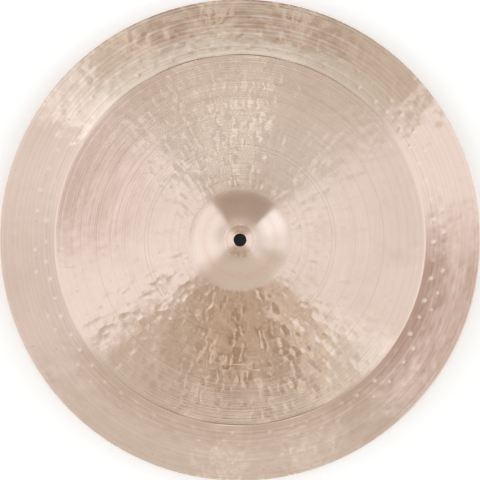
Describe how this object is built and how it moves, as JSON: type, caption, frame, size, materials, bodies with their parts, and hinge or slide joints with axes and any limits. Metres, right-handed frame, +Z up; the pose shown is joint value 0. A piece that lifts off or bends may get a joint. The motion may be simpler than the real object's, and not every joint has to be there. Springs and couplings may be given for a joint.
{
  "type": "china cymbal",
  "caption": "China cymbal: a turned and hand-hammered bronze disc with a raised cup, a central mounting hole, a shallow bow and an upturned rim.",
  "frame": {"origin": "on the table that the plate lies on, on the axis of the mounting hole", "axes": "+Z up along the axis of the hole, out through the cup; X and Y across the disc"},
  "size_m": [0.4572, 0.4572, 0.0423],
  "materials": {
    "bronze": "satin"
  },
  "bodies": {
    "root": {"cymbal_plate": "bronze"}
  },
  "joints": []
}
